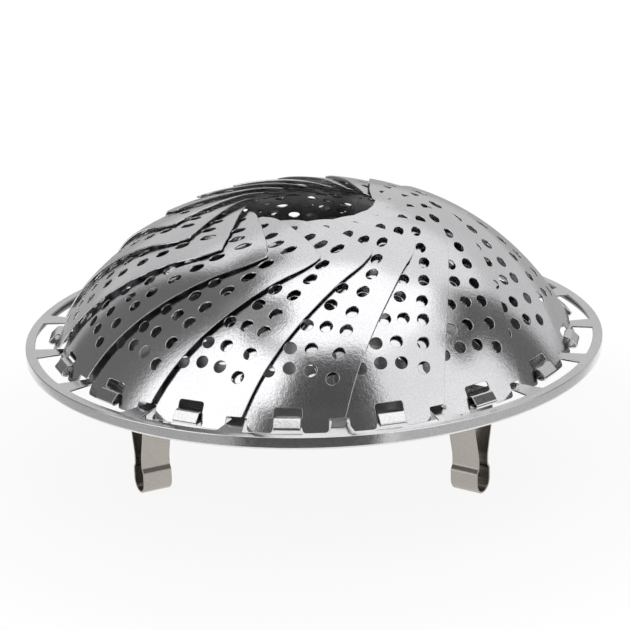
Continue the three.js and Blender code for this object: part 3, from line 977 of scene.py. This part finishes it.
class Finish:
    """A material, or the world, while its nodes are being made."""

    def __init__(self, owner):
        owner.use_nodes = True
        self.owner = owner
        self.tree = owner.node_tree
        self.tree.nodes.clear()

    def node(self, kind, settings=None, inputs=(), output=0):
        """Adds a node; inputs are its sockets' values or signals, in order or by name."""
        node = self.tree.nodes.new(kind)
        for name, value in (settings or {}).items():
            setattr(node, name, value)
        named = inputs.items() if isinstance(inputs, dict) else enumerate(inputs)
        for name, value in named:
            if isinstance(value, Signal):
                self.tree.links.new(value.socket, node.inputs[name])
            else:
                node.inputs[name].default_value = value
        return Signal(self, node.outputs[output]) if node.outputs else None

    def noise(self, places, scale, detail=2.0, roughness=0.5):
        inputs = {"Vector": places, "Scale": scale, "Detail": detail, "Roughness": roughness}
        return self.node("ShaderNodeTexNoise", None, inputs)

    def coordinates(self, kind):
        return self.node("ShaderNodeTexCoord", None, {}, kind)

    def range_of(self, value, low, high, new_low, new_high):
        inputs = [value, low, high, new_low, new_high]
        return self.node("ShaderNodeMapRange", {"interpolation_type": "SMOOTHSTEP"}, inputs)

    def mix_colours(self, factor, first, second):
        """Mixes two colours; each is a signal, or red, green and blue."""
        first, second = (value if isinstance(value, Signal) else (*value, 1) for value in (first, second))
        inputs = {MIX_FACTOR: factor, MIX_FIRST_COLOUR: first, MIX_SECOND_COLOUR: second}
        return self.node("ShaderNodeMix", {"data_type": "RGBA"}, inputs, MIX_RESULT_COLOUR)


# How many times each pattern of the steel repeats in a metre
GRAIN_SCALE = 2400
PIT_SCALE = 1300
SPECK_SCALE = 2900
WAVE_SCALE = 60
STAIN_SCALE = 45

# A pattern's values lie round this one, and each tint fades in over a range of them.
PATTERN_MIDDLE = 0.5
STAIN_RANGE = (0.35, 0.7)
SPECK_RANGE = (0.4, 0.62)

# Shares of the grain's depth
GRAIN_DEPTH_SHARE = 0.7
PIT_DEPTH_SHARE = 0.8

# Shares of the steel's own colour for dull specks and bright stains, the share that the inner side's
# painted shade leaves, and how much of the dull one a speck takes
DULL_SHARE = 0.88
BRIGHT_SHARE = 1.12
INNER_PAINTED_SHADE_SHARE = 0.35
SPECK_SHARE = 0.5

# Roughness that each pattern and the inner side add
PIT_ROUGHNESS = 0.12
STAIN_ROUGHNESS = 0.08
INNER_ROUGHNESS = 0.15
# How far the inner side's mask fades in, for its painted shade and its added roughness
INNER_SIDE_DEPTH = 12 * MM


def polished_steel(name, colour, roughness, grain_depth, wave_depth):
    """Polished sheet with a fine grain, pits, specks, broad waves and faint stains.

    A side that faces the basket's inside is darker, by painted shade, and duller.
    """
    finish = Finish(bpy.data.materials.new(name))
    places = finish.coordinates("Object")
    grain = finish.noise(places, GRAIN_SCALE, detail=3)
    pits = finish.noise(places, PIT_SCALE, detail=2)
    specks = finish.noise(places, SPECK_SCALE, detail=2)
    waves = finish.noise(places, WAVE_SCALE, detail=1)
    stains = finish.noise(places, STAIN_SCALE, detail=4, roughness=0.6)
    height = grain * (GRAIN_DEPTH_SHARE * grain_depth) + pits * (PIT_DEPTH_SHARE * grain_depth)
    height += waves * wave_depth
    normal = finish.node("ShaderNodeBump", None, {"Strength": 1, "Distance": 1, "Height": height}, "Normal")
    dull = tuple(DULL_SHARE * channel for channel in colour)
    bright = tuple(min(1, BRIGHT_SHARE * channel) for channel in colour)
    # Painted shade: the inner side's colour is the steel's own, darkened
    inside = tuple(INNER_PAINTED_SHADE_SHARE * channel for channel in colour)
    tint = finish.mix_colours(finish.range_of(stains, *STAIN_RANGE, 0, 1), bright, colour)
    tint = finish.mix_colours(finish.range_of(specks, *SPECK_RANGE, 0, SPECK_SHARE), tint, dull)
    # Mask of the side that faces the basket's inside, which gets painted shade and more roughness
    facing = finish.coordinates("Normal")
    outward = finish.node("ShaderNodeVectorMath", {"operation": "DOT_PRODUCT"}, [places, facing], "Value")
    inner = finish.range_of(outward, -INNER_SIDE_DEPTH, 0, 1, 0)
    tint = finish.mix_colours(inner, tint, inside)
    sheen = roughness + (pits - PATTERN_MIDDLE) * PIT_ROUGHNESS
    sheen += (stains - PATTERN_MIDDLE) * STAIN_ROUGHNESS + inner * INNER_ROUGHNESS
    shader = finish.node("ShaderNodeBsdfPrincipled", None, {
        "Base Color": tint,
        "Metallic": 1,
        "Roughness": sheen,
        "Normal": normal,
    })
    finish.node("ShaderNodeOutputMaterial", None, [shader])
    return finish.owner


def dress(pieces, material, body_names):
    """Gives pieces their material, their body and the slot that names their finish."""
    for piece, body in zip(pieces, body_names):
        piece.data.materials.clear()
        piece.data.materials.append(material)
        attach(piece, body)


class BASKET_OT_pan(bpy.types.Operator):
    """Model the pan with its hooks and lugs"""
    bl_idname = "basket.pan"
    bl_label = "Pan, hooks and lugs"

    def execute(self, context):
        colour = tuple(context.scene.basket_finish.pan_colour)
        steel = polished_steel("pan_steel", colour, roughness=0.16, grain_depth=12 * MICRON,
                               wave_depth=12 * MICRON)
        shell = pan_shell()
        pieces = [shell, *hooks(), *lugs()]
        dress(pieces, steel, ["pan"] * len(pieces))
        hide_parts("pan")
        return {"FINISHED"}


class BASKET_OT_petals(bpy.types.Operator):
    """Model one petal flat, bend it and copy it round the ring"""
    bl_idname = "basket.petals"
    bl_label = "Petals"

    def execute(self, context):
        colour = tuple(context.scene.basket_finish.petal_colour)
        steel = polished_steel("petal_steel", colour, roughness=0.15, grain_depth=18 * MICRON,
                               wave_depth=25 * MICRON)
        pieces = petals()
        bodies = [f"petal_{index + 1:02d}" for index in range(len(pieces))]
        dress(pieces, steel, bodies)
        for piece, body in zip(pieces, bodies):
            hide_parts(body)
        return {"FINISHED"}


class BASKET_OT_legs(bpy.types.Operator):
    """Model one strap leg and copy it to its three places"""
    bl_idname = "basket.legs"
    bl_label = "Legs"

    def execute(self, context):
        colour = tuple(context.scene.basket_finish.leg_colour)
        steel = polished_steel("leg_steel", colour, roughness=0.22, grain_depth=0.8 * MICRON,
                               wave_depth=12 * MICRON)
        pieces = leg_pieces()
        bodies = [f"leg_{index + 1}" for index in range(len(pieces))]
        dress(pieces, steel, bodies)
        for piece, body in zip(pieces, bodies):
            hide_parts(body)
        return {"FINISHED"}


# Stage

CAMERA_PLACE = Vector((0.42 * MM, -542.6 * MM, 225.3 * MM))
CAMERA_ELEVATION = math.radians(19.17)
CAMERA_ROLL = math.radians(-1.57)
CAMERA_LENS = 134.71
CAMERA_NEAR = 10 * MM
CAMERA_FAR = 10.0
STUDIO_RADIUS = 3.0
STUDIO_CENTRE = Vector((0, 0, 45 * MM))
STUDIO_BASE = 0.6
STUDIO_SOFTNESS = 6

# Angles in degrees that lie beyond every direction, so that an area has no edge there
LEFTMOST = -400
RIGHTMOST = 400
LOWEST = -100
HIGHEST = 100

# The studio's areas, each laid over those before it: its left and right edges from the front
# towards +X and its low and high edges, in degrees, and its brightness
STUDIO_AREAS = [
    (LEFTMOST, RIGHTMOST, 67, HIGHEST, 1.22),
    (24, 132, 58, HIGHEST, 1.22),
    (118, RIGHTMOST, 38, 66, 0.82),
    (LEFTMOST, -142, 40, 66, 0.8),
    (LEFTMOST, RIGHTMOST, LOWEST, 6, 0.42),
    (-142, -92, LOWEST, 66, 0.15),
    (-162, -130, 50, 60, 0.18),
    (-116, -62, 58, 76, 0.26),
    (-89, -29, LOWEST, 60, 1.27),
    (-36, 26, LOWEST, 38, 0.09),
    (-26, 24, 36, 64, 0.08),
    (25, 90, LOWEST, 60, 0.92),
    (74, 116, 38, 51, 0.1),
    (92, 118, LOWEST, 40, 0.13),
    (-150, -30, LOWEST, -8, 0.42),
    (30, 150, LOWEST, -8, 0.5),
]

FLOOR_RADIUS = 125 * MM
FADE_START_SHARE = 0.6
FADE_END_SHARE = 0.98
LEAST_WHITE_SHARE = 0.9


def studio_material():
    """Light tent: bright at the left, right and overhead, with soft dark areas between them."""
    finish = Finish(bpy.data.materials.new("studio"))
    places = finish.coordinates("Object")
    unit = finish.node("ShaderNodeVectorMath", {"operation": "NORMALIZE"}, [places])
    split = finish.tree.nodes.new("ShaderNodeSeparateXYZ")
    finish.tree.links.new(unit.socket, split.inputs[0])
    east, north, up = (Signal(finish, socket) for socket in split.outputs)
    azimuth = finish.node("ShaderNodeMath", {"operation": "ARCTAN2"}, [east, -north]) * math.degrees(1)
    elevation = up.sum_with("ARCSINE") * math.degrees(1)

    def soft_edge(angle, edge, before, after):
        return finish.range_of(angle, edge - STUDIO_SOFTNESS / 2, edge + STUDIO_SOFTNESS / 2, before, after)

    light = STUDIO_BASE
    for left, right, low, high, brightness in STUDIO_AREAS:
        inside = soft_edge(azimuth, left, 0, 1) * soft_edge(azimuth, right, 1, 0)
        inside *= soft_edge(elevation, low, 0, 1)
        inside *= soft_edge(elevation, high, 1, 0)
        light = light * (1 - inside) + inside * brightness
    shader = finish.node("ShaderNodeEmission", None, {"Strength": light})
    finish.node("ShaderNodeOutputMaterial", None, [shader])
    return finish.owner


def add_studio():
    bpy.ops.mesh.primitive_uv_sphere_add(segments=64, ring_count=32, radius=STUDIO_RADIUS)
    studio = bpy.context.active_object
    studio.name = "studio"
    studio.location = STUDIO_CENTRE
    studio.visible_camera = False
    studio.visible_shadow = False
    studio.data.materials.append(studio_material())


def floor_material(colour):
    """Pale floor that keeps a soft shadow and fades to plain white towards its edge."""
    finish = Finish(bpy.data.materials.new("floor"))
    places = finish.coordinates("Object")
    distance = finish.node("ShaderNodeVectorMath", {"operation": "LENGTH"}, [places], "Value")
    fade_start = FADE_START_SHARE * FLOOR_RADIUS
    fade_end = FADE_END_SHARE * FLOOR_RADIUS
    fade = finish.range_of(distance, fade_start, fade_end, LEAST_WHITE_SHARE, 1)
    diffuse = finish.node("ShaderNodeBsdfDiffuse", None, {"Color": (*colour, 1)})
    white = finish.node("ShaderNodeEmission", None, {"Strength": 1})
    seen = finish.node("ShaderNodeLightPath", None, {}, "Is Camera Ray")
    seen = seen.sum_with("MAXIMUM", finish.node("ShaderNodeLightPath", None, {}, "Is Glossy Ray"))
    seen = seen.sum_with("MAXIMUM", finish.node("ShaderNodeLightPath", None, {}, "Is Transmission Ray"))
    shader = finish.node("ShaderNodeMixShader", None, [seen * fade, diffuse, white])
    finish.node("ShaderNodeOutputMaterial", None, [shader])
    return finish.owner


def add_floor(colour):
    bpy.ops.mesh.primitive_circle_add(vertices=96, radius=FLOOR_RADIUS, fill_type="NGON")
    floor = bpy.context.active_object
    floor.name = "floor"
    floor.data.materials.append(floor_material(colour))


def add_world():
    world = bpy.data.worlds.new("world")
    bpy.context.scene.world = world
    finish = Finish(world)
    shader = finish.node("ShaderNodeBackground", None, {"Color": (1, 1, 1, 1), "Strength": 1})
    finish.node("ShaderNodeOutputWorld", None, [shader])


def add_camera():
    camera = link("camera", bpy.data.cameras.new("camera"))
    camera.data.lens = CAMERA_LENS
    camera.data.clip_start = CAMERA_NEAR
    camera.data.clip_end = CAMERA_FAR
    tilt = Matrix.Rotation(QUARTER_TURN - CAMERA_ELEVATION, 4, "X")
    roll = Matrix.Rotation(CAMERA_ROLL, 4, "Z")
    camera.matrix_world = Matrix.Translation(CAMERA_PLACE) @ tilt @ roll
    bpy.context.scene.camera = camera


class BASKET_OT_stage(bpy.types.Operator):
    """Add the floor, the studio light and the camera"""
    bl_idname = "basket.stage"
    bl_label = "Floor, light and camera"

    def execute(self, context):
        add_world()
        add_studio()
        add_floor(tuple(context.scene.basket_finish.floor_colour))
        add_camera()
        context.scene.view_settings.view_transform = "Standard"
        return {"FINISHED"}


class BASKET_PT_panel(bpy.types.Panel):
    bl_label = "Steamer basket"
    bl_idname = "BASKET_PT_panel"
    bl_space_type = "VIEW_3D"
    bl_region_type = "UI"
    bl_category = "Basket"

    def draw(self, context):
        for operator in OPERATORS:
            self.layout.operator(operator.bl_idname)


OPERATORS = (BASKET_OT_pan, BASKET_OT_petals, BASKET_OT_legs, BASKET_OT_stage)
GROUPS = {
    "basket_pan": BasketPan,
    "basket_petals": BasketPetals,
    "basket_legs": BasketLegs,
    "basket_finish": BasketFinish,
}


def register():
    for name, group in GROUPS.items():
        bpy.utils.register_class(group)
        setattr(bpy.types.Scene, name, PointerProperty(type=group))
    for made in (*OPERATORS, BASKET_PT_panel):
        bpy.utils.register_class(made)


def unregister():
    for made in (BASKET_PT_panel, *reversed(OPERATORS)):
        bpy.utils.unregister_class(made)
    for name, group in reversed(GROUPS.items()):
        delattr(bpy.types.Scene, name)
        bpy.utils.unregister_class(group)


def main():
    register()
    bpy.ops.basket.stage()
    bpy.ops.basket.pan()
    bpy.ops.basket.petals()
    bpy.ops.basket.legs()


if __name__ == "__main__":
    main()
